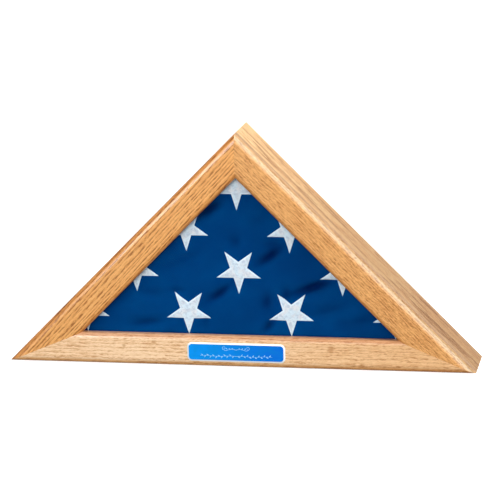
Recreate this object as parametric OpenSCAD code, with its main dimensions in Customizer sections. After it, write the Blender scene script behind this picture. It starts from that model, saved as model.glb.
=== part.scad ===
// Display case for a folded flag: a right-angled triangular box that stands on its long side.
// X runs to the right along the base, Y from the front to the back, Z up.
// The origin is on the base plane, in the middle of the whole case's width and depth.

/* [Case] */
// Width across the base, corner to corner
case_w = 648; // [500:1:760]
// Depth of the woodwork, from the front face to the rear edge
case_d = 94; // [80:1:120]

/* [Front frame] */
// Width of the frame's face
face_w = 43.5; // [38:0.5:52]
// Thickness of the frame
frame_t = 19; // [16:0.5:22]
// Radius of the outer front edge
outer_round = 9; // [4:0.5:10]
// Radius of the inner front edge
inner_round = 7; // [3:0.5:9]
// Depth of the window's edge, from the face back to the glass
sill_d = 12.5; // [11:0.5:13]
// Width of the ledge that the glass bears on
ledge_w = 8; // [7:0.5:9]

/* [Box] */
// Thickness of the three box boards
board_t = 16; // [14:0.5:19]
// Depth of the rabbet that takes the back panel
rabbet_d = 3.6; // [3.5:0.1:6]
// Width of that rabbet, cut into the boards' inner faces
rabbet_w = 6; // [4:0.5:7]

/* [Joinery] */
// Length of the hidden biscuits in the frame's mitres
biscuit_l = 46; // [38:1:50]
// Width of a biscuit, across the mitre
biscuit_w = 15; // [12:1:18]
// Thickness of a biscuit
biscuit_t = 4; // [3:0.5:5]
// Length of the splines in the box's mitres, along the depth
spline_l = 60; // [40:1:65]
// Width of a spline, across the mitre
spline_w = 12; // [8:1:12]
// Thickness of a spline
spline_t = 3; // [2:0.5:4]
// Diameter of the dowels between the frame and the box
dowel_d = 6; // [5:0.5:8]
// Length of a dowel
dowel_l = 22; // [16:1:24]

/* [Glazing] */
// Thickness of the glass
glass_t = 2.5; // [2:0.5:3]
// Room around the glass in the frame's rabbet
glass_gap = 1; // [0.5:0.5:2]
// Width of the strips that hold the glass, which fill the rabbet's depth
stop_w = 5; // [4:0.5:5.5]
// Length of the brads that pin the strips to the frame
brad_l = 15; // [12:1:18]
// Diameter of a brad
brad_d = 1.2; // [1:0.1:1.6]

/* [Back] */
// Thickness of the back panel
panel_t = 3.2; // [2.5:0.1:3.2]
// Room around the back panel
panel_gap = 0.5; // [0.4:0.1:1]
// Length of a turn button
button_l = 30; // [24:1:36]
// Width of a turn button
button_w = 8.4; // [7:0.2:9]
// Thickness of a turn button
button_t = 1.6; // [1:0.1:2]
// Diameter of the screws' shanks
screw_d = 3; // [2.5:0.1:3.2]
// Diameter of the screws' heads
screw_head_d = 6; // [5:0.2:7]

/* [Name plate] */
// Length of the plate
plate_l = 136; // [80:1:160]
// Height of the plate
plate_h = 26.5; // [20:0.5:27]
// Thickness of the plate
plate_t = 1.5; // [1:0.1:2]
// Slope of its edges, measured across the face
plate_bevel = 2.2; // [0.5:0.1:3]
// Radius of its corners
plate_round = 7; // [4:0.5:9]
// Distance of the plate's middle from the middle of the case, to the right
plate_x = -3; // [-20:0.5:20]
// Height of the plate's middle above the base
plate_z = 21.5; // [18:0.5:24]

/* [Flag] */
// Thickness of the folded flag, behind the frame
flag_t = 62; // [40:1:64]
// Room between the flag and the boards
flag_gap = 2.5; // [1:0.5:8]

/* [Hidden] */

$fn = 64;
eps = 1;
oak = "#dfa468";
pale_oak = "#ebc196";
steel = "#b9bcc0";

// The triangle: two equal legs that meet at a right angle over the middle of the base
leg = case_w / sqrt(2);
inradius = case_w * (sqrt(2) - 1) / 2;
centre = [0, inradius];

// Sides: middle of the outer edge (x, z), turn about Y, length, where the inscribed circle touches
BOTTOM = [0, 0, 0, case_w, 0];
RIGHT = [case_w / 4, case_w / 4, 225, leg, (case_w - leg) / 2];
LEFT = [-case_w / 4, case_w / 4, 135, leg, (leg - case_w) / 2];
sides = [BOTTOM, RIGHT, LEFT];

// Corners: place (x, z), direction of the mitre, half of the corner's angle
CORNER_LEFT = [-case_w / 2, 0, 22.5, 22.5];
CORNER_RIGHT = [case_w / 2, 0, 157.5, 22.5];
CORNER_APEX = [0, case_w / 2, 270, 45];
corners = [CORNER_LEFT, CORNER_RIGHT, CORNER_APEX];

// Depth positions, counted from the frame's front face
glass_back = sill_d + glass_t;
flag_face = glass_back + 1;
flag_front = frame_t + 1;
panel_front = case_d - rabbet_d + 0.1;

// The strips lie between the glass and the frame's back, from the rabbet's edge inwards
ledge_edge = face_w - ledge_w;
stop_d = frame_t - glass_back;
stop_room = 1;

// Joinery positions
biscuit_depth = 0.45 * frame_t;
biscuit_share = 0.57;
spline_share = 0.65;
dowel_share = 0.3;
brad_pitch = 0.18;
pocket_room = 0.2;

// Turn buttons: they turn on screws in the middle of the land behind the rabbet
land_w = board_t - rabbet_w;
button_lift = 0.3;
button_share = 0.25;
hole_room = 0.08;
head_room = 0.1;
screw_head_h = 1.9;
screw_reach = 12;
recess_d = 1.1;
head_seat = case_d + button_lift + button_t + head_room;

// The plate and the screw heads stand out of the woodwork, and the origin counts them in
tape_t = 0.2;
proud_front = tape_t + plate_t;
proud_back = head_seat + screw_head_h - case_d;
front_y = proud_front - (case_d + proud_front + proud_back) / 2;

// ---- placing ----

// Runs along one side: X along the edge, Y the depth behind the front face, Z inwards
module on_side(s)
    translate([s[0], front_y, s[1]]) rotate([0, s[2], 0]) children();

// Sits at one corner: X along the mitre, Z across it
module at_corner(c)
    translate([c[0], front_y, c[1]]) rotate([0, -c[2], 0]) children();

// Extrudes a shape drawn in X and Z from one depth to another
module between(y0, y1)
    translate([0, y1, 0]) rotate([90, 0, 0]) linear_extrude(y1 - y0) children();

// Extrudes a profile drawn as (depth, inset) along a side and cuts both mitres
module mitred(s) {
    spread = 1.05;
    ends = [[-s[3] / 2, 0], [s[3] / 2, 0]];
    touch = [s[4], inradius];
    intersection() {
        rotate([90, 0, 90]) linear_extrude(s[3] + 2 * eps, center = true) children();
        between(-eps, case_d + eps)
            polygon([touch + spread * (ends[0] - touch), touch + spread * (ends[1] - touch), touch]);
    }
}

// The case's triangle, moved inwards by inset, with its corners nipped off
function inner_corner(i, inset) =
    centre + (1 - inset / inradius) * ([corners[i][0], corners[i][1]] - centre);
function towards(a, b, d) = a + d * (b - a) / norm(b - a);
module triangle(inset, nip)
    polygon([
        for (i = [0:2])
            for (j = [2, 1])
                towards(inner_corner(i, inset), inner_corner((i + j) % 3, inset), nip)
    ]);
module sheet(inset, nip, y0, y1)
    translate([0, front_y, 0]) between(y0, y1) triangle(inset, nip);

// ---- front frame ----

// The waste outside a rounded corner at the origin
module corner_waste(r)
    difference() {
        translate([-eps, -eps]) square(r + eps);
        translate([r, r]) circle(r);
    }

module rail_profile()
    difference() {
        square([frame_t, face_w]);
        corner_waste(outer_round);
        translate([0, face_w]) mirror([0, 1]) corner_waste(inner_round);
        translate([sill_d, ledge_edge]) square([frame_t, ledge_w + eps]);
    }

// A biscuit is a lens: two arcs that share a chord of the biscuit's length
module biscuit(room) {
    l = biscuit_l + 2 * room;
    w = biscuit_w + 2 * room;
    t = biscuit_t + 2 * room;
    r = (l * l + w * w) / (4 * w);
    between(biscuit_depth - t / 2, biscuit_depth + t / 2)
        intersection() {
            translate([0, r - w / 2]) circle(r);
            translate([0, w / 2 - r]) circle(r);
        }
}

module mitre_biscuit(c, room = 0)
    at_corner(c)
        translate([biscuit_share * face_w / sin(c[3]), 0, 0]) biscuit(room);

// Three dowels on each side, half in the frame and half in the board
module dowels(s)
    on_side(s)
        for (k = [-1:1])
            translate([k * dowel_share * s[3], frame_t - dowel_l / 2, board_t / 2])
                rotate([-90, 0, 0]) cylinder(d = dowel_d, h = dowel_l);

module front_rail(s, tone)
    color(tone) difference() {
        on_side(s) mitred(s) rail_profile();
        for (c = corners) mitre_biscuit(c, pocket_room);
        dowels(s);
        brads(s);
    }

// ---- box ----

module board_profile()
    difference() {
        translate([frame_t, 0]) square([case_d - frame_t, board_t]);
        translate([case_d - rabbet_d, land_w]) square([rabbet_d + eps, rabbet_w + eps]);
    }

module box_spline(c, room = 0)
    at_corner(c)
        translate([spline_share * board_t / sin(c[3]), frame_t, 0])
            translate([-spline_t / 2 - room, 0, -spline_w / 2 - room])
                cube([spline_t + 2 * room, spline_l + room, spline_w + 2 * room]);

module box_board(s)
    color(oak) difference() {
        on_side(s) mitred(s) board_profile();
        for (c = corners) box_spline(c, pocket_room / 2);
        dowels(s);
        screw_pair(s) screw_shank();
    }

// ---- glazing ----

module glass_pane()
    color("#cfe3e0", 0.3) sheet(ledge_edge + glass_gap, 3, sill_d, glass_back);

// Four brads on each side
module brads(s)
    on_side(s)
        for (k = [-1.5:1.5])
            translate([k * brad_pitch * s[3], glass_back + stop_d / 2, ledge_edge + stop_w])
                rotate([180, 0, 0]) {
                    cylinder(d = brad_d, h = brad_l);
                    cylinder(d = 1.7 * brad_d, h = brad_d / 2);
                }

module glass_stop(s)
    color(oak) difference() {
        on_side(s) mitred(s) translate([glass_back, ledge_edge]) square([stop_d, stop_w]);
        brads(s);
    }

// ---- flag ----

// Plain outline of the folded bundle, whose face is pressed through the frame towards the glass
module folded_flag()
    color("#0b3f7d") union() {
        sheet(board_t + flag_gap, 16, flag_front, flag_front + flag_t);
        sheet(ledge_edge + stop_w + stop_room, 3, flag_face, flag_front + eps);
    }

// ---- back ----

module back_panel()
    color("#b08a5e") sheet(land_w + panel_gap, 8, panel_front, panel_front + panel_t);

// Two screws stand on each side, a quarter of its length either side of the middle
module at_screw(s, k)
    on_side(s) translate([k * button_share * s[3], 0, land_w / 2]) children();

module screw_pair(s)
    for (k = [-1, 1]) at_screw(s, k) children();

// A strip with two round ends that turns on its first one and rests pointing to +X or -X
module turn_button(s, k, points)
    color(steel) at_screw(s, k)
        between(case_d + button_lift, case_d + button_lift + button_t)
            difference() {
                reach = points * (button_l - button_w);
                union() {
                    circle(d = button_w);
                    translate([reach, 0]) circle(d = button_w);
                    translate([min(0, reach), -button_w / 2]) square([abs(reach), button_w]);
                }
                circle(d = screw_d + 2 * hole_room);
            }

module screw_shank()
    translate([0, head_seat - screw_reach, 0])
        rotate([-90, 0, 0]) cylinder(d = screw_d, h = screw_reach);

module screw() {
    r = screw_head_d / 2;
    dome_r = (r * r + screw_head_h * screw_head_h) / (2 * screw_head_h);
    screw_shank();
    difference() {
        intersection() {
            translate([0, head_seat + screw_head_h - dome_r, 0]) sphere(dome_r);
            translate([0, head_seat, 0]) rotate([-90, 0, 0]) cylinder(r = r + eps, h = 2 * r);
        }
        for (turn = [0, 90])
            translate([0, head_seat + screw_head_h, 0]) rotate([0, turn, 0])
                cube([0.55 * screw_head_d, 2 * recess_d, 0.14 * screw_head_d], center = true);
    }
}

// ---- name plate ----

module rounded_plate(l, h, r)
    union() {
        square([l - 2 * r, h], center = true);
        square([l, h - 2 * r], center = true);
        for (x = [-1, 1], z = [-1, 1]) translate([x * (l / 2 - r), z * (h / 2 - r)]) circle(r);
    }

module on_plate() translate([plate_x, front_y, plate_z]) children();

module name_plate()
    color("#0a84ea") on_plate() hull() {
        lip_t = 0.3;
        between(-tape_t - lip_t, -tape_t) rounded_plate(plate_l, plate_h, plate_round, $fn = 32);
        between(-proud_front, -proud_front + lip_t)
            rounded_plate(plate_l - 2 * plate_bevel, plate_h - 2 * plate_bevel,
                          plate_round - plate_bevel, $fn = 32);
    }

module name_plate_tape()
    color("white") on_plate()
        between(-tape_t, 0) square([0.94 * plate_l, 0.7 * plate_h], center = true);

// ---- nodes ----

front_rail(BOTTOM, pale_oak);  // front_rail_bottom
front_rail(RIGHT, oak);  // front_rail_right
front_rail(LEFT, oak);  // front_rail_left
color("tan") mitre_biscuit(CORNER_LEFT);  // mitre_biscuit_left
color("tan") mitre_biscuit(CORNER_RIGHT);  // mitre_biscuit_right
color("tan") mitre_biscuit(CORNER_APEX);  // mitre_biscuit_apex
box_board(BOTTOM);  // box_board_bottom
box_board(RIGHT);  // box_board_right
box_board(LEFT);  // box_board_left
color("tan") box_spline(CORNER_LEFT);  // box_spline_left
color("tan") box_spline(CORNER_RIGHT);  // box_spline_right
color("tan") box_spline(CORNER_APEX);  // box_spline_apex
color("tan") for (s = sides) dowels(s);  // locating_dowels
glass_pane();
glass_stop(BOTTOM);  // glass_stop_bottom
glass_stop(RIGHT);  // glass_stop_right
glass_stop(LEFT);  // glass_stop_left
color(steel) for (s = sides) brads(s);  // glass_stop_brads
folded_flag();
back_panel();
turn_button(BOTTOM, -1, 1);  // turn_button_1
turn_button(BOTTOM, 1, -1);  // turn_button_2
turn_button(RIGHT, -1, 1);  // turn_button_3
turn_button(RIGHT, 1, -1);  // turn_button_4
turn_button(LEFT, -1, 1);  // turn_button_5
turn_button(LEFT, 1, -1);  // turn_button_6
color(steel) for (s = sides) screw_pair(s) screw();  // turn_button_screws
name_plate();
name_plate_tape();
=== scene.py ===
"""Folded flag display case: the looks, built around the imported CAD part.

Everything is in metres, in the part's own frame: X right, Y from front to back, Z up.
"""

import math

import bpy
import numpy as np
from mathutils import Matrix, Vector
from mathutils.bvhtree import BVHTree


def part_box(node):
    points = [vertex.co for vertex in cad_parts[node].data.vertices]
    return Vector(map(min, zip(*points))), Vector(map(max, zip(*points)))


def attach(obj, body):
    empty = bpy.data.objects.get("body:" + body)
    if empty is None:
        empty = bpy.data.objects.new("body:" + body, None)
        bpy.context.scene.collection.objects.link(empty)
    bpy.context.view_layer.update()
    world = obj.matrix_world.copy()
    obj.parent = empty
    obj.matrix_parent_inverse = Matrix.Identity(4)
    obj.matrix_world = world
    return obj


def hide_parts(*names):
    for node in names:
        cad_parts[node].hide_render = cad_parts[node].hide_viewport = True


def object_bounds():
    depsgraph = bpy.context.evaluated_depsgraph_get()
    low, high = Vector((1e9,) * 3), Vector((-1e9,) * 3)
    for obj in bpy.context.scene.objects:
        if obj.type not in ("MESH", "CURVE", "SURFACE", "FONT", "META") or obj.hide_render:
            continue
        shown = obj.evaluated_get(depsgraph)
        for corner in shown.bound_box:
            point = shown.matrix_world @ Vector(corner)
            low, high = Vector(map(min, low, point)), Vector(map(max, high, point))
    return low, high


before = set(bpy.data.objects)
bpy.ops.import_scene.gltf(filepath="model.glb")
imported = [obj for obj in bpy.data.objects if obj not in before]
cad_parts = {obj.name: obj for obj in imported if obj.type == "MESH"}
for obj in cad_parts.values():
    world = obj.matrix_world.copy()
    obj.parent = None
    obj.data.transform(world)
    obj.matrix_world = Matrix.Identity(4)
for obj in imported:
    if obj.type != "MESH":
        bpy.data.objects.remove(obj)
cad_low, cad_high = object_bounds()
scene = bpy.context.scene

MM = 0.001
WHITE = (1.0, 1.0, 1.0, 1.0)


# ---------------------------------------------------------------- helpers


def colour(red, green, blue):
    """A display colour, 0 to 255 a channel, as the linear one that shaders take."""

    def linear(level):
        share = level / 255
        return share / 12.92 if share <= 0.04045 else ((share + 0.055) / 1.055) ** 2.4

    return (linear(red), linear(green), linear(blue), 1.0)


def smooth(value, low, high):
    """0 below low, 1 above high, and an even curve between them. Takes numbers or arrays."""
    share = np.clip((value - low) / (high - low), 0, 1)
    return share * share * (3 - 2 * share)


def new_object(name, mesh):
    """An object for the mesh, placed in the scene."""
    made = bpy.data.objects.new(name, mesh)
    scene.collection.objects.link(made)
    return made


def mesh_object(name, points, faces):
    """An object with a new mesh of these points and faces."""
    mesh = bpy.data.meshes.new(name)
    mesh.from_pydata([tuple(p) for p in points], [], faces)
    mesh.validate()
    mesh.update()
    return new_object(name, mesh)


def closed_shell(faces, count):
    """The faces of a sheet, of its back and of its rim. The back's points follow the sheet's count points."""
    edges = {edge for face in faces for edge in zip(face, face[1:] + face[:1])}
    backs = [tuple(v + count for v in reversed(face)) for face in faces]
    return faces + backs + [(b, a, a + count, b + count) for a, b in edges if (b, a) not in edges]


def coordinates(mesh):
    """The mesh's vertices as an array of rows."""
    flat = np.zeros(len(mesh.vertices) * 3)
    mesh.vertices.foreach_get("co", flat)
    return flat.reshape(-1, 3)


def set_coordinates(mesh, points):
    mesh.vertices.foreach_set("co", np.asarray(points, float).ravel())
    mesh.update()


def apply_modifiers(made):
    """Puts the modifiers' result into the mesh and takes them off."""
    graph = bpy.context.evaluated_depsgraph_get()
    result = bpy.data.meshes.new_from_object(made.evaluated_get(graph))
    made.modifiers.clear()
    made.data = result


def shade_smooth(made):
    made.data.polygons.foreach_set("use_smooth", [True] * len(made.data.polygons))


def dress(made, material):
    """Gives a piece or a CAD node one material."""
    made.data.materials.clear()
    made.data.materials.append(material)


# ---------------------------------------------------------------- shader nodes


def node(tree, kind, inputs=None, **settings):
    """Adds a shader node. An input is a number, a colour, or another node's output."""
    made = tree.nodes.new("ShaderNode" + kind)
    for name, value in settings.items():
        setattr(made, name, value)
    for name, value in (inputs or {}).items():
        if isinstance(value, bpy.types.NodeSocket):
            tree.links.new(value, made.inputs[name])
        else:
            made.inputs[name].default_value = value
    return made


def maths(tree, operation, first, second=0.0):
    return node(tree, "Math", {0: first, 1: second}, operation=operation).outputs[0]


def blend_colour(tree, share, first, second, how="MIX"):
    """Goes from first to second as share goes from 0 to 1. how says what second does to first."""
    made = node(tree, "Mix", {"Factor": share, "A": WHITE, "B": WHITE}, data_type="RGBA", blend_type=how)
    for name, value in (("A", first), ("B", second)):
        socket = next(s for s in made.inputs if s.name == name and s.type == "RGBA")
        if isinstance(value, bpy.types.NodeSocket):
            tree.links.new(value, socket)
        else:
            socket.default_value = value
    return next(s for s in made.outputs if s.type == "RGBA")


def spread(tree, value, low, high, out_low=0.0, out_high=1.0):
    """Stretches low to high over out_low to out_high, smoothly, and holds the ends."""
    inputs = {"Value": value, "From Min": low, "From Max": high, "To Min": out_low, "To Max": out_high}
    return node(tree, "MapRange", inputs, interpolation_type="SMOOTHSTEP").outputs["Result"]


def noise(tree, where, detail=2.0, rough=0.5, twist=0.0):
    """Clouds of noise, mostly between 0.3 and 0.7, about one unit of where across."""
    inputs = {"Vector": where, "Scale": 1.0, "Detail": detail, "Roughness": rough, "Distortion": twist}
    return node(tree, "TexNoise", inputs).outputs["Fac"]


def stretched(tree, where, size_mm, turn=0.0, offset=(0.0, 0.0, 0.0)):
    """Coordinates in which one unit is size_mm along X, Y and Z, after a turn about Y."""
    turned = node(tree, "Mapping", {"Vector": where, "Rotation": (0.0, turn, 0.0)}).outputs[0]
    scale = tuple(1 / (s * MM) for s in size_mm)
    return node(tree, "Mapping", {"Vector": turned, "Scale": scale, "Location": offset}).outputs[0]


def new_material(name, **constants):
    """A material with one Principled shader, whose constant inputs are given by name."""
    made = bpy.data.materials.new(name)
    made.use_nodes = True
    tree = made.node_tree
    shader = tree.nodes["Principled BSDF"]
    for key, value in constants.items():
        shader.inputs[key.replace("_", " ")].default_value = value
    where = node(tree, "TexCoord").outputs["Object"]
    return made, tree, shader, where


def bump(tree, shader, height, depth_mm, strength=1.0):
    """Shades the surface as if height, from 0 to 1, raised it by depth_mm."""
    made = node(tree, "Bump", {"Height": height, "Distance": depth_mm * MM, "Strength": strength})
    tree.links.new(made.outputs["Normal"], shader.inputs["Normal"])


# ---------------------------------------------------------------- wood

# The case's outline: half of its width, which is also its height, and for each of its three boards the turn
# about Y that lays its grain along X, the inward direction, and what to add to get the distance from the
# outer edge
HALF_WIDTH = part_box("front_rail_bottom")[1].x
SLANT = math.sqrt(0.5)
BOARD_TURN = {"bottom": 0.0, "left": math.radians(45), "right": math.radians(-45)}
INWARDS = {"bottom": (0.0, 0.0, 1.0), "left": (SLANT, 0.0, -SLANT), "right": (-SLANT, 0.0, -SLANT)}
INSET_START = {"bottom": 0.0, "left": HALF_WIDTH * SLANT, "right": HALF_WIDTH * SLANT}

# Painted shade and painted highlight along the rounded edges: the darker amber tints paint shade, and
# the paler ones paint the highlight on the right rail's outer edge and light on its narrow side
PAINTED_EDGE_SHADE = (0.86, 0.73, 0.58, 1.0)
PAINTED_SHADE_BELOW = (1.0, 0.74, 0.42, 1.0)
PAINTED_LIP_SHADE = (0.72, 0.59, 0.55, 1.0)
PAINTED_EDGE_HIGHLIGHT = (0.70, 0.89, 1.22, 1.0)
PAINTED_SIDE_LIGHT = (1.36, 1.22, 1.25, 1.0)

# Where those tints lie, by the distance from the board's outer edge: first where one begins, then where it is
# full. They are on the outer rounded edge, on the inner one, and on the outer side.
EDGE_SPANS = ((8 * MM, 3 * MM), (36.5 * MM, 41 * MM), (0.9 * MM, 0.3 * MM))


def oak(
    name,
    board,
    pith_mm,
    ring_mm,
    tones,
    dash,
    dashes,
    fine,
    ragged,
    seed,
    bands=0.3,
    fleck=0.0,
    clouds=0.3,
    skew=0.0,
    edges=(None, None, None),
    drift=None,
    knots=(),
    coat=1.0,
):
    """Lacquered oak. board says which way the grain runs, but for skew degrees. Growth rings, ring_mm apart,
    run round a pith that lies along the grain at pith_mm (depth, inset), and ragged says how far their edges
    wander. tones is (light, middle, dark, pore). dash is the length and width in mm of a dash of open pores.
    dashes, bands, fine, fleck and clouds are how strongly those dashes, the rings' dark bands, the fine
    grain, the ray flecks and the pale clouds show. seed shifts all the noise. edges are the tints at
    EDGE_SPANS, which paint shade and highlight onto the rounded edges. drift says between which X the
    board's tone changes, and by what tint; on the right side board it is painted shade, darker toward its
    lower end. knots are small dark marks, each as (x, z, size) in mm. coat is how much lacquer there is."""
    light, middle, dark, pore = tones
    made, tree, shader, where = new_material(
        name, Coat_Weight=coat, Coat_Roughness=0.2, Coat_IOR=1.62, Specular_IOR_Level=0.1
    )
    shift = (seed, 1.7 * seed, 2.3 * seed)
    turn = BOARD_TURN[board] + math.radians(skew)

    # Distance from the pith, bent by slow noise, gives the rings
    lined_up = node(tree, "Mapping", {"Vector": where, "Rotation": (0.0, turn, 0.0)}).outputs[0]
    pith = {"Location": (0.0, pith_mm[0] * MM, pith_mm[1] * MM), "Scale": (0.0, 1.0, 1.0)}
    from_pith = node(tree, "Mapping", {"Vector": lined_up, **pith}).outputs[0]
    radius = node(tree, "VectorMath", {0: from_pith}, operation="LENGTH").outputs["Value"]
    bend = noise(tree, stretched(tree, where, (170, 18, 18), turn, shift), 2.0, 0.5)
    jitter = noise(tree, stretched(tree, where, (18, 2.6, 2.6), turn, shift), 3.0, 0.6)
    turns = maths(tree, "DIVIDE", radius, ring_mm * MM)
    turns = maths(tree, "ADD", turns, maths(tree, "MULTIPLY", bend, 2.6))
    turns = maths(tree, "ADD", turns, maths(tree, "MULTIPLY", jitter, ragged))
    phase = maths(tree, "FRACT", turns)
    early = maths(tree, "MULTIPLY", spread(tree, phase, 0.0, 0.1), spread(tree, phase, 0.22, 0.5, 1.0, 0.0))
    late = spread(tree, phase, 0.45, 0.95)

    # Pores open in dashes along the early wood of each ring
    broken = noise(tree, stretched(tree, where, (dash[0], dash[1], dash[1]), turn, shift), 2.0, 0.5)
    dash_share = maths(tree, "MULTIPLY", early, spread(tree, broken, 0.4, 0.58))
    hairs = noise(tree, stretched(tree, where, (10, 1.25, 1.25), turn, shift), 2.0, 0.6)
    hair_share = spread(tree, hairs, 0.46, 0.66)
    pores = noise(tree, stretched(tree, where, (4.5, 0.75, 0.75), turn, shift), 1.0, 0.5)
    in_early = spread(tree, early, 0.0, 1.0, 0.4, 1.0)
    pore_share = maths(tree, "MULTIPLY", spread(tree, pores, 0.54, 0.66), in_early)
    rays = noise(tree, stretched(tree, where, (5.5, 1.3, 1.3), turn + 0.45, shift), 1.0, 0.5)
    cloudy = noise(tree, stretched(tree, where, (110, 22, 22), turn, shift), 2.0, 0.5)

    # The wood's tone, from the broad bands to the single pores
    tone = blend_colour(tree, maths(tree, "MULTIPLY", late, 0.75), middle, light)
    tone = blend_colour(tree, maths(tree, "MULTIPLY", early, bands), tone, dark)
    tone = blend_colour(tree, maths(tree, "MULTIPLY", hair_share, fine), tone, dark)
    tone = blend_colour(tree, maths(tree, "MULTIPLY", spread(tree, rays, 0.54, 0.66), fleck), tone, dark)
    tone = blend_colour(tree, spread(tree, cloudy, 0.4, 0.68, 0.0, clouds), tone, light)
    tone = blend_colour(tree, maths(tree, "MULTIPLY", dash_share, dashes), tone, pore)
    tone = blend_colour(tree, maths(tree, "MULTIPLY", pore_share, 0.65), tone, pore)

    # The painted shade and highlight along the edges, the knots, and the change of tone from one end to the
    # other, which on the right side board is painted shade
    inwards = node(tree, "VectorMath", {0: where, 1: INWARDS[board]}, operation="DOT_PRODUCT")
    inset = maths(tree, "ADD", inwards.outputs["Value"], INSET_START[board])
    for tint, (begins, full) in zip(edges, EDGE_SPANS):
        if tint:
            tone = blend_colour(tree, spread(tree, inset, begins, full), tone, tint, "MULTIPLY")
    for x, z, size in knots:
        heart = (x * MM, cad_low.y, z * MM)
        away = node(tree, "VectorMath", {0: where, 1: heart}, operation="DISTANCE").outputs["Value"]
        wander = maths(tree, "MULTIPLY", maths(tree, "SUBTRACT", hairs, 0.5), 3 * size * MM)
        away = maths(tree, "ADD", away, wander)
        dark_share = spread(tree, away, 0.4 * size * MM, 1.5 * size * MM, 0.7, 0.0)
        tone = blend_colour(tree, dark_share, tone, pore)
    if drift:
        across = node(tree, "SeparateXYZ", {0: where}).outputs["X"]
        tone = blend_colour(tree, spread(tree, across, drift[0], drift[1]), tone, drift[2], "MULTIPLY")
    tree.links.new(tone, shader.inputs["Base Color"])

    tree.links.new(spread(tree, pore_share, 0.0, 1.0, 0.42, 0.65), shader.inputs["Roughness"])
    opened = maths(tree, "MAXIMUM", dash_share, pore_share)
    height = maths(tree, "SUBTRACT", maths(tree, "MULTIPLY", late, 0.3), opened)
    bump(tree, shader, height, 0.12, 0.6)
    return made


def bare_wood(name, light, dark, size_mm, turn=0.0):
    """Plain, close-grained wood for the pieces that the case hides."""
    made, tree, shader, where = new_material(name, Roughness=0.65)
    grain = noise(tree, stretched(tree, where, size_mm, turn), 4.0, 0.6)
    tone = blend_colour(tree, spread(tree, grain, 0.3, 0.7), light, dark)
    tree.links.new(tone, shader.inputs["Base Color"])
    bump(tree, shader, grain, 0.08, 0.5)
    return made


def hardboard(name):
    """Pressed fibre board: short fibres in every direction, with darker specks."""
    made, tree, shader, where = new_material(name, Specular_IOR_Level=0.3)
    fibres = noise(tree, stretched(tree, where, (2.5, 2.5, 2.5)), 5.0, 0.7, 1.2)
    specks = noise(tree, stretched(tree, where, (1.1, 1.1, 1.1), 0.6), 2.0, 0.5)
    clouds = noise(tree, stretched(tree, where, (70, 70, 70)), 2.0)
    tone = blend_colour(tree, spread(tree, fibres, 0.3, 0.7), colour(150, 108, 70), colour(178, 135, 92))
    tone = blend_colour(tree, spread(tree, specks, 0.62, 0.75, 0.0, 0.6), tone, colour(96, 64, 38))
    tone = blend_colour(tree, spread(tree, clouds, 0.35, 0.7, 0.0, 0.35), tone, colour(128, 88, 56))
    tree.links.new(tone, shader.inputs["Base Color"])
    tree.links.new(spread(tree, fibres, 0.3, 0.7, 0.5, 0.72), shader.inputs["Roughness"])
    bump(tree, shader, fibres, 0.1, 0.6)
    return made


# ---------------------------------------------------------------- glass, metal, plastic


def clear_glass(name):
    """A clear pane that bends what is seen and lets the lamps' light straight through."""
    made, tree, shader, _ = new_material(name, Roughness=0.0, Transmission_Weight=1.0, IOR=1.45)
    shader.inputs["Base Color"].default_value = (0.985, 0.995, 0.99, 1.0)
    shader.inputs["Specular Tint"].default_value = (0.05, 0.05, 0.05, 1.0)
    clear = node(tree, "BsdfTransparent", {"Color": (0.97, 0.985, 0.98, 1.0)})
    lamp_ray = node(tree, "LightPath").outputs["Is Shadow Ray"]
    mixed = node(tree, "MixShader", {0: lamp_ray, 1: shader.outputs[0], 2: clear.outputs[0]})
    output = next(n for n in tree.nodes if n.type == "OUTPUT_MATERIAL")
    tree.links.new(mixed.outputs[0], output.inputs["Surface"])
    return made


def zinc(name, tint, brush_mm):
    """Zinc-plated steel with a fine brushed grain and dull patches."""
    made, tree, shader, where = new_material(name, Metallic=1.0)
    brushed = noise(tree, stretched(tree, where, brush_mm), 3.0, 0.6)
    patches = noise(tree, stretched(tree, where, (5, 5, 5)), 3.0, 0.6, 0.8)
    dull = tuple(0.8 * c for c in tint[:3]) + (1.0,)
    tone = blend_colour(tree, spread(tree, patches, 0.35, 0.7), tint, dull)
    tree.links.new(tone, shader.inputs["Base Color"])
    streaks = spread(tree, brushed, 0.3, 0.7, 0.22, 0.34)
    rough = maths(tree, "ADD", streaks, spread(tree, patches, 0.4, 0.7, 0.0, 0.12))
    tree.links.new(rough, shader.inputs["Roughness"])
    bump(tree, shader, brushed, 0.02, 0.6)
    return made


def two_ply_plate(name):
    """Engraving stock: a blue face over a white core, which shows where the edges slope away."""
    made, tree, shader, where = new_material(name, Specular_IOR_Level=0.12)
    low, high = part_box("name_plate")
    normal = node(tree, "NewGeometry").outputs["True Normal"]
    facing = maths(tree, "MULTIPLY", node(tree, "SeparateXYZ", {0: normal}).outputs["Y"], -1.0)
    face = spread(tree, facing, 0.93, 0.97)
    across = node(tree, "SeparateXYZ", {0: where}).outputs["X"]
    # Painted reflection: the blue face is lighter at its left end than at its right
    blue = blend_colour(tree, spread(tree, across, low.x, high.x), colour(0, 146, 238), colour(0, 108, 214))
    mottle = noise(tree, stretched(tree, where, (14, 14, 10)), 3.0)
    blue = blend_colour(tree, spread(tree, mottle, 0.4, 0.65, 0.0, 0.35), blue, colour(0, 130, 205))
    tree.links.new(blend_colour(tree, face, colour(238, 244, 244), blue), shader.inputs["Base Color"])
    grain = noise(tree, stretched(tree, where, (0.5, 0.5, 0.5)), 2.0)
    tree.links.new(spread(tree, grain, 0.3, 0.7, 0.28, 0.4), shader.inputs["Roughness"])
    bump(tree, shader, grain, 0.01, 0.5)
    return made


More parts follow.
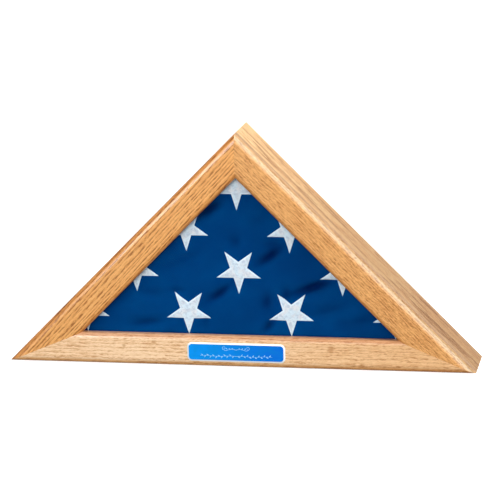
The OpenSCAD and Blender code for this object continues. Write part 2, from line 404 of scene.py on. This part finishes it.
def engraving(name):
    """The pale core that the cutter lays bare, a little uneven."""
    made, tree, shader, where = new_material(name)
    cut = noise(tree, stretched(tree, where, (0.8, 0.8, 0.8)), 3.0)
    tone = blend_colour(tree, spread(tree, cut, 0.3, 0.7), colour(100, 186, 240), colour(166, 218, 246))
    tree.links.new(tone, shader.inputs["Base Color"])
    tree.links.new(spread(tree, cut, 0.3, 0.7, 0.45, 0.6), shader.inputs["Roughness"])
    bump(tree, shader, cut, 0.02)
    return made


def tape_foam(name):
    """Off-white foam with fine cells."""
    made, tree, shader, where = new_material(name)
    fine = stretched(tree, where, (0.4, 0.4, 0.4))
    cells = node(tree, "TexVoronoi", {"Vector": fine, "Scale": 1.0}).outputs[0]
    tone = blend_colour(tree, cells, colour(236, 234, 226), colour(205, 202, 192))
    tree.links.new(tone, shader.inputs["Base Color"])
    tree.links.new(spread(tree, cells, 0.0, 1.0, 0.7, 0.85), shader.inputs["Roughness"])
    return made


# ---------------------------------------------------------------- cloth


def weave_height(tree, where, thread_mm):
    """Over-and-under threads: two sets of ridges that take turns, in X and in Z."""
    ridges = []
    for direction in ("X", "Z"):
        made = node(
            tree,
            "TexWave",
            {"Vector": where, "Scale": math.pi / 10 / (thread_mm * MM), "Distortion": 0.6, "Detail": 1.0},
            bands_direction=direction,
        )
        ridges.append(made.outputs["Fac"])
    return maths(tree, "MULTIPLY", *ridges)


# The cloth's blue in two even tones, in its slubs and as painted shade between the threads, and as painted
# shade down in the folds; and the stars' white in the rim, in the field, in its warmer patches, and between the
# threads
FLAG_BLUE = colour(0, 57, 117)
FLAG_BLUE_LIT = colour(0, 66, 128)
FLAG_BLUE_SLUBS_AND_SHADE = colour(0, 42, 96)
FLAG_BLUE_FOLD_SHADE = colour(0, 26, 76)
STAR_RIM = colour(224, 237, 247)
STAR_FIELD = colour(215, 229, 241)
STAR_WARM = colour(225, 226, 232)
STAR_SHADE = colour(168, 182, 203)


def flag_cloth(name):
    """Deep blue cotton, with a plain weave, slightly uneven dye, and painted shade between the threads and down
    in the folds.
    """
    made, tree, shader, where = new_material(name, Roughness=0.8, Specular_IOR_Level=0.0)
    weave = weave_height(tree, where, 0.55)
    slubs = noise(tree, stretched(tree, where, (14, 4, 0.9)), 2.0)
    dye = noise(tree, stretched(tree, where, (55, 40, 38), 0.5), 2.0, 0.5, 0.5)
    tone = blend_colour(tree, spread(tree, dye, 0.3, 0.7), FLAG_BLUE, FLAG_BLUE_LIT)
    tone = blend_colour(tree, spread(tree, slubs, 0.5, 0.75, 0.0, 0.25), tone, FLAG_BLUE_SLUBS_AND_SHADE)
    # Painted shade between the threads of the weave
    tone = blend_colour(tree, spread(tree, weave, 0.0, 0.6, 0.25, 0.0), tone, FLAG_BLUE_SLUBS_AND_SHADE)
    # Painted shade: the cloth is darker where the creases dip, on top of their real shape
    fold_shade = node(tree, "Attribute", attribute_name="fold_shade").outputs["Fac"]
    tone = blend_colour(tree, spread(tree, fold_shade, 0.3 * MM, 8 * MM), tone, FLAG_BLUE_FOLD_SHADE)
    tree.links.new(tone, shader.inputs["Base Color"])
    bump(tree, shader, weave, 0.12, 0.7)
    return made


def embroidery(name):
    """White satin stitch: threads lie across each half of an arm, in a bright rim round a mottled field."""
    made, tree, shader, where = new_material(name, Roughness=0.5, Specular_IOR_Level=0.2, Sheen_Weight=0.05)
    along = node(tree, "UVMap", uv_map="thread").outputs[0]
    laid = node(tree, "Mapping", {"Vector": along, "Scale": (1 / (0.45 * MM), 1 / (5 * MM), 1.0)}).outputs[0]
    threads = noise(tree, laid, 2.0, 0.6)
    inside = node(tree, "Attribute", attribute_name="inside").outputs["Fac"]
    mottle = noise(tree, stretched(tree, where, (5, 5, 5)), 3.0, 0.6, 0.5)
    warm = noise(tree, stretched(tree, where, (11, 11, 11)), 2.0)
    field = blend_colour(tree, spread(tree, warm, 0.4, 0.62), STAR_FIELD, STAR_WARM)
    field = blend_colour(tree, spread(tree, mottle, 0.42, 0.66, 0.0, 0.6), field, STAR_SHADE)
    tone = blend_colour(tree, spread(tree, inside, 0.8 * MM, 2.8 * MM), STAR_RIM, field)
    tone = blend_colour(tree, spread(tree, threads, 0.48, 0.7, 0.0, 0.4), tone, STAR_SHADE)
    tree.links.new(tone, shader.inputs["Base Color"])
    bump(tree, shader, threads, 0.25, 0.9)
    return made


# ---------------------------------------------------------------- camera and light


# Where the camera stands, from the middle of the frame's face at the base, and how it is turned, in degrees
CAMERA_RIGHT, CAMERA_AHEAD, CAMERA_UP = 0.6402, 3.3172, 0.9468
CAMERA_YAW, CAMERA_DOWN, CAMERA_ROLL = 10.604, 13.034, -1.196
CAMERA_LENS, CAMERA_SENSOR = 184.8, 36.0

# Where the softboxes aim, how far the floor reaches from the middle, and how strongly it glows
LIT_MIDDLE = Vector((0, 0, 0.15))
FLOOR_REACH = 30.0
FLOOR_GLOW = 0.62


def make_camera():
    """Stands in front of the case, to its right and above it, and looks a little down."""
    face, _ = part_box("front_rail_bottom")
    camera = bpy.data.objects.new("camera", bpy.data.cameras.new("camera"))
    camera.data.sensor_width = CAMERA_SENSOR
    camera.data.lens = CAMERA_LENS
    camera.data.clip_end = 50.0
    turn = Matrix.Rotation(math.radians(CAMERA_YAW), 4, "Z")
    turn = turn @ Matrix.Rotation(math.radians(90 - CAMERA_DOWN), 4, "X")
    turn = turn @ Matrix.Rotation(math.radians(CAMERA_ROLL), 4, "Z")
    camera.matrix_world = Matrix.Translation((CAMERA_RIGHT, face.y - CAMERA_AHEAD, CAMERA_UP)) @ turn
    scene.collection.objects.link(camera)
    scene.camera = camera


def add_lamp(name, lamp, place, only):
    """Puts a lamp in the scene. only is "sheen" for one that shows in the lacquer and brightens nothing, and
    "glow" for one that brightens and shows in nothing. Any other lamp does both."""
    made = bpy.data.objects.new(name, lamp)
    made.visible_transmission = False
    made.visible_diffuse = only != "sheen"
    made.visible_glossy = only != "glow"
    made.matrix_world = place
    scene.collection.objects.link(made)


def make_softbox(name, toward, along, distance, size, power, only=None):
    """A rectangular lamp in the direction toward, facing the middle of the case, its height lying along."""
    lamp = bpy.data.lights.new(name, "AREA")
    lamp.shape = "RECTANGLE"
    lamp.size, lamp.size_y = size
    lamp.energy = power
    aim = Vector(toward).normalized()
    across = Vector(along).cross(aim).normalized()
    turn = Matrix((across, aim.cross(across), aim)).transposed().to_4x4()
    add_lamp(name, lamp, Matrix.Translation(LIT_MIDDLE + distance * aim) @ turn, only)


def make_sun(name, toward, strength, spread_degrees, only=None):
    """A wide, soft light from far away in the direction toward."""
    lamp = bpy.data.lights.new(name, "SUN")
    lamp.energy = strength
    lamp.angle = math.radians(spread_degrees)
    add_lamp(name, lamp, Vector(toward).to_track_quat("Z", "Y").to_matrix().to_4x4(), only)


def make_light():
    """Soft light from the front, the right, the left and behind, and a sky that is brightest at the horizon."""
    make_sun("front_key", (0.10, -0.95, 0.28), 0.55 * math.pi, 30, only="glow")
    make_sun("right_key", (0.72, -0.22, 0.66), 0.15 * math.pi, 40)
    make_sun("front_left", (-0.35, -0.88, 0.30), 0.15 * math.pi, 40)
    make_sun("right_sheen", (0.64, -0.42, 0.64), 1.2 * math.pi, 80, only="sheen")
    make_softbox("left_sheen", (-0.55, -0.80, 0.19), (1, 0, 1), 1.9, (1.5, 0.5), 13, only="sheen")
    make_softbox("over_right", (0.42, -0.21, 0.88), (0, 0, 1), 1.2, (0.5, 0.5), 11, only="glow")
    make_sun("back_fill", (-0.10, 0.95, 0.20), 0.45 * math.pi, 50, only="glow")
    world = bpy.data.worlds.new("studio")
    world.use_nodes = True
    tree = world.node_tree
    rise = node(tree, "SeparateXYZ", {0: node(tree, "TexCoord").outputs["Generated"]}).outputs["Z"]
    below = spread(tree, rise, -0.6, 0.0, 0.18, 0.4)
    above = spread(tree, rise, 0.1, 0.6, 0.0, 0.2)
    sky = maths(tree, "SUBTRACT", below, above)
    tree.links.new(sky, tree.nodes["Background"].inputs["Strength"])
    tree.nodes["Background"].inputs["Color"].default_value = WHITE
    scene.world = world
    scene.view_settings.view_transform = "Standard"


def make_floor():
    """A pale floor that takes shadows but throws no light back at the case."""
    corners = [(FLOOR_REACH * x, FLOOR_REACH * y, 0) for x, y in ((-1, -1), (1, -1), (1, 1), (-1, 1))]
    floor = mesh_object("floor", corners, [(0, 1, 2, 3)])
    floor.visible_diffuse = False
    floor.visible_glossy = False
    floor.visible_transmission = False
    made, tree, shader, where = new_material("floor_paint", Roughness=0.8, Specular_IOR_Level=0.1)
    shader.inputs["Emission Color"].default_value = WHITE
    shader.inputs["Emission Strength"].default_value = FLOOR_GLOW
    grain = noise(tree, stretched(tree, where, (60, 60, 60)), 3.0)
    tone = blend_colour(tree, grain, (0.90, 0.90, 0.90, 1.0), (0.94, 0.94, 0.94, 1.0))
    tree.links.new(tone, shader.inputs["Base Color"])
    dress(floor, made)


# ---------------------------------------------------------------- flag

# Stars stand on a staggered grid, one point down: the top one's middle, the steps across and down, how far
# each row lies to the right of the one above it, and a star's radius
STAR_TOP = Vector((-1.4 * MM, 0, 248.6 * MM))
STAR_STEP = (71.3 * MM, 58.2 * MM)
STAR_LEAN = 0.5 * MM
STAR_RADIUS = 32.4 * MM
STAR_ROWS = 4

# The cloth's face lies this far behind the solid's front, to leave room for the stars
FACE_SETBACK = 1.7 * MM

# How far the air may move the cloth, in how many frames, and the size of the grid it is remeshed on
SWELL = 6 * MM
SWELL_FRAMES = 20
VOXEL = 5 * MM

# Insets from the case's outer edge: of the opening that the face shows in, and of the bundle behind the frame
FACE_INSET = 41.5 * MM
FLAG_INSET = 18.8 * MM

# The folded layers that show at the sides, and how deep the grooves between them are
LAYERS = 7
GROOVE = 1.2 * MM

# Soft creases in the face: middle (x, z), half length, half width and depth in mm, turn in degrees
CREASES = (
    (-40, 216, 23, 7.2, 6.5, 34),
    (27, 203, 18, 11.0, 3.0, 25),
    (-5, 171, 10, 7.7, 4.0, 80),
    (42, 152, 21, 6.6, 7.5, 36),
    (44, 169, 14, 7.7, 3.5, 5),
    (101, 110, 30, 7.2, 8.0, 20),
    (64, 101, 12, 7.7, 4.0, 80),
    (-28, 99, 21, 6.6, 6.5, 38),
    (37, 88, 15, 7.2, 5.0, 80),
    (-87, 102, 10, 4.4, 3.0, 0),
    (-128, 99, 21, 8.8, 3.0, -5),
    (-86, 142, 34, 9.9, 3.0, 22),
    (-132, 56, 28, 7.7, 4.5, 8),
    (-47, 59, 14, 7.7, 3.0, 70),
    (39, 54, 13, 5.5, 5.0, 50),
    (118, 78, 34, 8.8, 3.5, 14),
    (170, 66, 29, 7.7, 3.0, 10),
)


def crease_depth(x, z):
    """How far the cloth's face dips at a point, in metres."""
    depth = np.zeros_like(x)
    for cx, cz, length, width, deep, degrees in CREASES:
        turn = math.radians(degrees)
        dx, dz = x - cx * MM, z - cz * MM
        along = (dx * math.cos(turn) + dz * math.sin(turn)) / (length * MM)
        across = (-dx * math.sin(turn) + dz * math.cos(turn)) / (width * MM)
        depth += deep * MM * np.exp(-(along**2) - across**2)
    return depth


def edge_distances(points):
    """Distance of each point from the case's three outer edges, one column for each."""
    x, z = points[:, 0], points[:, 2]
    return np.stack((z, (HALF_WIDTH + x - z) * SLANT, (HALF_WIDTH - x - z) * SLANT), axis=1)


def keep_inside(points, inset):
    """Moves points straight in from each edge of the case until they are at least inset from it."""
    for column, board in enumerate(("bottom", "left", "right")):
        short = np.maximum(0, inset - edge_distances(points)[:, column])
        points += short[:, None] * np.array(INWARDS[board])
    return points


def bundle_start(front, back, inset, nip):
    """A plain triangular prism with its corners nipped off, from which the bundle is swollen."""
    base = HALF_WIDTH - inset * (1 + math.sqrt(2))
    apex = HALF_WIDTH - inset * math.sqrt(2)
    corners = (Vector((-base, 0, inset)), Vector((base, 0, inset)), Vector((0, 0, apex)))
    outline = []
    for i in range(3):
        here = corners[i]
        for other in (corners[i - 1], corners[(i + 1) % 3]):
            outline.append(here + nip * (other - here).normalized())
    count = len(outline)
    points = [(p.x, front, p.z) for p in outline] + [(p.x, back, p.z) for p in outline]
    faces = [tuple(range(count)), tuple(range(2 * count - 1, count - 1, -1))]
    faces += [(i, i + count, (i + 1) % count + count, (i + 1) % count) for i in range(count)]
    made = mesh_object("flag_bundle", points, faces)
    if made.data.polygons[0].normal.y > 0:
        made.data.flip_normals()
    return made


def swell_cloth(flag):
    """Lets air pressure round the bundle for a moment, and keeps the result within SWELL of where it was."""
    rest = coordinates(flag.data)
    cloth = flag.modifiers.new("cloth", "CLOTH")
    cloth.settings.quality = 4
    cloth.settings.use_pressure = True
    cloth.settings.uniform_pressure_force = 4.0
    cloth.settings.effector_weights.gravity = 0.0
    cloth.point_cache.frame_end = SWELL_FRAMES
    for moment in range(1, SWELL_FRAMES + 1):
        scene.frame_set(moment)
    apply_modifiers(flag)
    scene.frame_set(1)
    moved = coordinates(flag.data) - rest
    far = np.linalg.norm(moved, axis=1, keepdims=True)
    set_coordinates(flag.data, rest + moved * np.minimum(1, SWELL / np.maximum(far, 1e-9)))


def make_flag():
    """The folded bundle: a padded triangle, pressed flat by the glass, its layers showing at the sides."""
    low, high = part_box("folded_flag")
    face = low.y + FACE_SETBACK
    flag = bundle_start(face + SWELL, high.y - SWELL, FLAG_INSET + SWELL, 20 * MM)
    remesh = flag.modifiers.new("remesh", "REMESH")
    remesh.mode = "VOXEL"
    remesh.voxel_size = VOXEL
    apply_modifiers(flag)
    swell_cloth(flag)
    flag.modifiers.new("finer", "SUBSURF").levels = 1
    apply_modifiers(flag)

    # Folded layers: shallow grooves round the sides
    points = coordinates(flag.data)
    depth_share = (points[:, 1] - face) / (high.y - face)
    groove = GROOVE * (0.5 - 0.5 * np.cos(2 * math.pi * LAYERS * depth_share))
    inset = edge_distances(points).min(axis=1)
    side = (1 - smooth(inset, FLAG_INSET + 4 * MM, FLAG_INSET + 10 * MM)) * smooth(depth_share, 0.12, 0.2)
    middle = np.array((0, 0, HALF_WIDTH * 0.414))
    inward = (middle - points) * np.array((1, 0, 1))
    inward /= np.maximum(np.linalg.norm(inward, axis=1, keepdims=True), 1e-6)
    points += inward * (groove * side)[:, None]
    points = keep_inside(points, FLAG_INSET)

    # The face swells through the frame's opening as far as the glass, and rounds off behind the frame's edge
    inset = edge_distances(points).min(axis=1)
    behind_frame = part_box("box_board_bottom")[0].y + 1.2 * MM
    reach = smooth(inset, FACE_INSET - 3 * MM, FACE_INSET + 2.5 * MM)
    front = behind_frame + (face - behind_frame) * reach
    faces_glass = points[:, 1] < face + 16 * MM
    pressed = np.where(faces_glass, front + crease_depth(points[:, 0], points[:, 2]), points[:, 1])
    blend = smooth(points[:, 1], face + 9 * MM, face + 16 * MM)
    points[:, 1] = np.where(faces_glass, pressed * (1 - blend) + points[:, 1] * blend, points[:, 1])
    points[:, 1] = np.minimum(points[:, 1], high.y - 0.3 * MM)
    set_coordinates(flag.data, points)
    # Each point's crease depth, which the cloth's material turns into painted fold shade
    folds = np.where(faces_glass, crease_depth(points[:, 0], points[:, 2]), 0)
    flag.data.attributes.new("fold_shade", "FLOAT", "POINT").data.foreach_set("value", folds)
    shade_smooth(flag)
    dress(flag, flag_cloth("flag_cloth"))
    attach(flag, "case")
    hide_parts("folded_flag")
    return flag


def star_outline():
    """The ten corners of a star round the origin, in X and Z, starting from the point at the bottom."""
    notch = STAR_RADIUS * math.cos(math.radians(72)) / math.cos(math.radians(36))
    corners = []
    for i in range(10):
        reach = STAR_RADIUS if i % 2 == 0 else notch
        angle = math.radians(36 * i)
        corners.append((reach * math.sin(angle), -reach * math.cos(angle)))
    return corners


def make_star(name, place, cloth, material):
    """A raised, embroidered star that follows the cloth under it. What would pass the opening is left out."""
    corners = star_outline()
    steps = 12
    edge_reach = STAR_RADIUS * math.cos(math.radians(72))
    found, points, depths, faces, arms = {}, [], [], [], []

    def point(x, z, inside):
        """The patch's point over (x, z), inside being its distance from the star's outline."""
        key = (round(x * 1e6), round(z * 1e6))
        if key not in found:
            spot = Vector((place.x + x, cad_low.y, place.z + z))
            room = edge_distances(np.array((tuple(spot),))).min()
            hit = cloth.ray_cast(spot, Vector((0, 1, 0)))[0] if room > FACE_INSET else None
            found[key] = None
            if hit is not None:
                raised = 0.3 + 0.6 * float(smooth(inside, 0, 1.2 * MM)) + 0.4 * inside / edge_reach
                found[key] = len(points)
                points.append((spot.x, hit.y - raised * MM, spot.z))
                depths.append(inside)
        return found[key]

    def add_face(arm, *corner_points):
        if None not in corner_points:
            faces.append(corner_points)
            arms.append(arm)

    for i in range(10):
        a, b = corners[i], corners[(i + 1) % 10]

        def at(row, column):
            """row counts out from the middle, and column runs from a to b."""
            share = column / row if row else 0
            x = (a[0] + (b[0] - a[0]) * share) * row / steps
            z = (a[1] + (b[1] - a[1]) * share) * row / steps
            return point(x, z, edge_reach * (1 - row / steps))

        arm = math.radians(72 * ((i + 1) // 2))
        for row in range(1, steps + 1):
            for column in range(row):
                add_face(arm, at(row - 1, column), at(row, column), at(row, column + 1))
                if column < row - 1:
                    add_face(arm, at(row - 1, column), at(row, column + 1), at(row - 1, column + 1))
    if not faces:
        return

    # The shell's back lies just inside the cloth
    backs = [(x, y + 1.6 * MM, z) for x, y, z in points]
    star = mesh_object(name, points + backs, closed_shell(faces, len(points)))
    star.data.attributes.new("inside", "FLOAT", "POINT").data.foreach_set("value", depths + depths)
    thread = star.data.uv_layers.new(name="thread")
    for face in star.data.polygons:
        arm = arms[face.index % len(arms)]
        for loop in face.loop_indices:
            spot = star.data.vertices[star.data.loops[loop].vertex_index].co - place
            thread.data[loop].uv = (
                spot.x * math.sin(arm) - spot.z * math.cos(arm),
                spot.x * math.cos(arm) + spot.z * math.sin(arm),
            )
    shade_smooth(star)
    dress(star, material)
    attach(star, "case")


def make_stars(flag):
    """Lays the whole grid of stars on the cloth's face. Those that the frame hides are left out."""
    cloth = BVHTree.FromObject(flag, bpy.context.evaluated_depsgraph_get())
    material = embroidery("star_embroidery")
    for row in range(STAR_ROWS):
        for k in range(row + 1):
            across = (2 * k - row) * STAR_STEP[0] + row * STAR_LEAN
            place = STAR_TOP + Vector((across, 0, -row * STAR_STEP[1]))
            make_star(f"flag_star_{row + 1}_{k + 1}", place, cloth, material)


# ---------------------------------------------------------------- name plate

# The ornament, in mm from the plate's middle: the width of its lines, the scroll above the middle, the sprig
# below it, and the steps that they are drawn in
LINE_MM = 0.55
SCROLL_REACH, SCROLL_RADIUS, SCROLL_UP = 16.5, 2.6, 3.8
SPRIG_REACH, SPRIG_UP = 50, -5.2
SCROLL_STEPS, STEM_STEPS, SPRIG_STEPS = 40, 12, 20


def ribbon(points, faces, path, widths):
    """Adds a flat band along a path of (x, z) points, as wide at each point as widths says."""
    start = len(points)
    for i, (x, z) in enumerate(path):
        before, after = path[max(i - 1, 0)], path[min(i + 1, len(path) - 1)]
        dx, dz = after[0] - before[0], after[1] - before[1]
        long = math.hypot(dx, dz) or 1.0
        half = widths[i] / 2
        points.append((x - dz / long * half, z + dx / long * half))
        points.append((x + dz / long * half, z - dx / long * half))
    for i in range(len(path) - 1):
        a = start + 2 * i
        faces.append((a, a + 1, a + 3, a + 2))


def leaf(points, faces, root, angle, length, width):
    """A pointed leaf from root, in mm, leaning at angle."""
    steps = 8
    path, widths = [], []
    for i in range(steps + 1):
        share = i / steps
        bend = angle + 0.35 * (share - 0.5)
        path.append((root[0] + length * share * math.cos(bend), root[1] + length * share * math.sin(bend)))
        widths.append(max(width * math.sin(math.pi * share**0.8), 0.04))
    ribbon(points, faces, path, widths)


def ornament():
    """A plain scroll over a leafy sprig, mirrored about the middle, as (x, z) points in mm and faces."""
    points, faces = [], []
    for side in (-1, 1):
        scroll = []
        for i in range(SCROLL_STEPS + 1):
            share = i / SCROLL_STEPS
            curl = 2.2 * math.pi * share - math.pi / 2
            reach = SCROLL_RADIUS * (1 - 0.62 * share)
            x, z = reach * math.cos(curl), reach * math.sin(curl)
            scroll.append((side * (SCROLL_REACH + x), SCROLL_UP + SCROLL_RADIUS + z))
        stem = []
        for i in range(STEM_STEPS + 1):
            share = i / STEM_STEPS
            stem.append((side * SCROLL_REACH * share, SCROLL_UP + 1.1 * math.sin(1.5 * math.pi * share)))
        stem[-1] = scroll[0]
        ribbon(points, faces, stem, [LINE_MM] * len(stem))
        ribbon(points, faces, scroll, [LINE_MM * (1 - 0.4 * i / SCROLL_STEPS) for i in range(len(scroll))])
        for k in range(3):
            leaf(points, faces, (side * (3.5 + 4.2 * k), 4.6), math.pi / 2 - side * 0.9, 3.0, 1.2)

        def wave(x):
            return SPRIG_UP + 0.5 * math.sin(3 * math.pi * x / SPRIG_REACH)

        along = [SPRIG_REACH * i / SPRIG_STEPS for i in range(SPRIG_STEPS + 1)]
        sprig = [(side * x, wave(x)) for x in along]
        ribbon(points, faces, sprig, [LINE_MM * (1 - 0.5 * i / SPRIG_STEPS) for i in range(len(sprig))])
        for k in range(12):
            x = 3.0 + 3.9 * k
            lean = 0.75 if k % 2 else -0.75
            leaf(points, faces, (side * x, wave(x)), lean if side > 0 else math.pi - lean, 3.6, 1.3)
    return points, faces


def make_engraving():
    """The ornament on the name plate, cut through the blue face to the core."""
    low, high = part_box("name_plate")
    middle = (low + high) / 2
    flat, faces = ornament()
    points = []
    for depth in (low.y - 0.04 * MM, low.y + 0.2 * MM):
        points += [(middle.x + x * MM, depth, middle.z + z * MM) for x, z in flat]
    shell = closed_shell(faces, len(flat))
    piece = mesh_object("plate_ornament", points, shell)
    dress(piece, engraving("plate_engraving"))
    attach(piece, "case")


# ---------------------------------------------------------------- materials on the CAD nodes

# Light, middle, dark and pore tones of the boards
WARM_OAK = (colour(244, 184, 110), colour(234, 166, 92), colour(200, 130, 62), colour(158, 96, 38))
EVEN_OAK = (colour(238, 179, 109), colour(226, 163, 95), colour(192, 128, 66), colour(160, 100, 48))
PALE_OAK = (colour(255, 222, 182), colour(246, 206, 162), colour(218, 168, 116), colour(190, 134, 80))
# The right side board's, paler to paint in the whitish sheen of its lacquer
SIDE_OAK_PAINTED_SHEEN = (colour(255, 224, 168), colour(247, 197, 139), colour(200, 142, 86), colour(150, 100, 54))

# The boards' grain: for each node, the material's name, the board, pith_mm, ring_mm and tones, then the rest
OAK_BOARDS = {
    "front_rail_left": (
        ("oak_left", "left", (60, 150), 4.3, WARM_OAK),
        dict(dash=(11, 2.2), dashes=1.0, bands=0.35, fine=0.5, ragged=0.9, skew=2, seed=3.0,
             # Painted shade on both rounded edges
             edges=(PAINTED_EDGE_SHADE, PAINTED_EDGE_SHADE, None)),
    ),
    "front_rail_right": (
        ("oak_right", "right", (90, 120), 3.6, EVEN_OAK),
        dict(dash=(5, 1.5), dashes=0.75, bands=0.15, fine=0.55, fleck=0.6, ragged=2.2, seed=11.0,
             # Painted highlight on the outer rounded edge, painted shade on the inner one, painted light on the
             # narrow side
             edges=(PAINTED_EDGE_HIGHLIGHT, PAINTED_EDGE_SHADE, PAINTED_SIDE_LIGHT)),
    ),
    "front_rail_bottom": (
        ("oak_bottom", "bottom", (100, 60), 3.8, PALE_OAK),
        dict(dash=(7, 1.7), dashes=0.7, bands=0.15, fine=0.5, fleck=0.35, clouds=0.4, ragged=1.8, seed=23.0,
             # Painted shade under the lower rounded edge and on the window's lip
             edges=(PAINTED_SHADE_BELOW, PAINTED_LIP_SHADE, None), drift=(-0.1, 0.28, (0.88, 0.76, 0.60, 1.0)),
             knots=((128, 30, 4.5), (-118, 33, 3), (-160, 27, 2.5))),
    ),
    # Paler tones that paint in the lacquer's whitish sheen, and a drift that paints shade toward the lower end
    "box_board_right": (
        ("oak_side_right", "right", (-20, 70), 2.8, SIDE_OAK_PAINTED_SHEEN),
        dict(dash=(24, 1.6), dashes=0.75, bands=0.25, fine=0.8, ragged=0.8, seed=31.0, coat=0.35,
             drift=(-0.05, 0.20, (0.67, 0.59, 0.53, 1.0))),
    ),
    "box_board_left": (
        ("oak_side_left", "left", (30, 60), 4.0, EVEN_OAK),
        dict(dash=(22, 2), dashes=0.6, fine=0.5, ragged=0.8, seed=41.0, coat=0.35),
    ),
    "box_board_bottom": (
        ("oak_base", "bottom", (20, 80), 4.0, EVEN_OAK),
        dict(dash=(22, 2), dashes=0.6, fine=0.5, ragged=0.8, seed=53.0, coat=0.35),
    ),
}


def dress_nodes():
    """Gives every CAD node its material."""
    finishes = {name: oak(*main, **rest) for name, (main, rest) in OAK_BOARDS.items()}
    beech = bare_wood("beech", colour(222, 186, 146), colour(198, 156, 114), (14, 1.2, 1.2))
    strip = bare_wood("oak_strip", colour(212, 166, 116), colour(180, 132, 86), (30, 1.4, 1.4))
    steel = zinc("zinc_plate", (0.66, 0.64, 0.58, 1.0), (12, 0.25, 0.25))
    for side in ("bottom", "left", "right"):
        finishes["glass_stop_" + side] = strip
    for corner in ("left", "right", "apex"):
        finishes["mitre_biscuit_" + corner] = beech
        finishes["box_spline_" + corner] = beech
    for i in range(1, 7):
        finishes[f"turn_button_{i}"] = steel
    finishes["locating_dowels"] = beech
    finishes["glass_stop_brads"] = zinc("bright_wire", (0.6, 0.6, 0.6, 1.0), (4, 0.2, 0.2))
    finishes["turn_button_screws"] = zinc("screw_plate", (0.7, 0.68, 0.62, 1.0), (0.3, 0.3, 4))
    finishes["glass_pane"] = clear_glass("clear_glass")
    finishes["back_panel"] = hardboard("hardboard")
    finishes["name_plate"] = two_ply_plate("plate_two_ply")
    finishes["name_plate_tape"] = tape_foam("tape_foam")
    for name, material in finishes.items():
        dress(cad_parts[name], material)


# ---------------------------------------------------------------- the scene

make_camera()
make_light()
make_floor()
dress_nodes()
bundle = make_flag()
make_stars(bundle)
make_engraving()
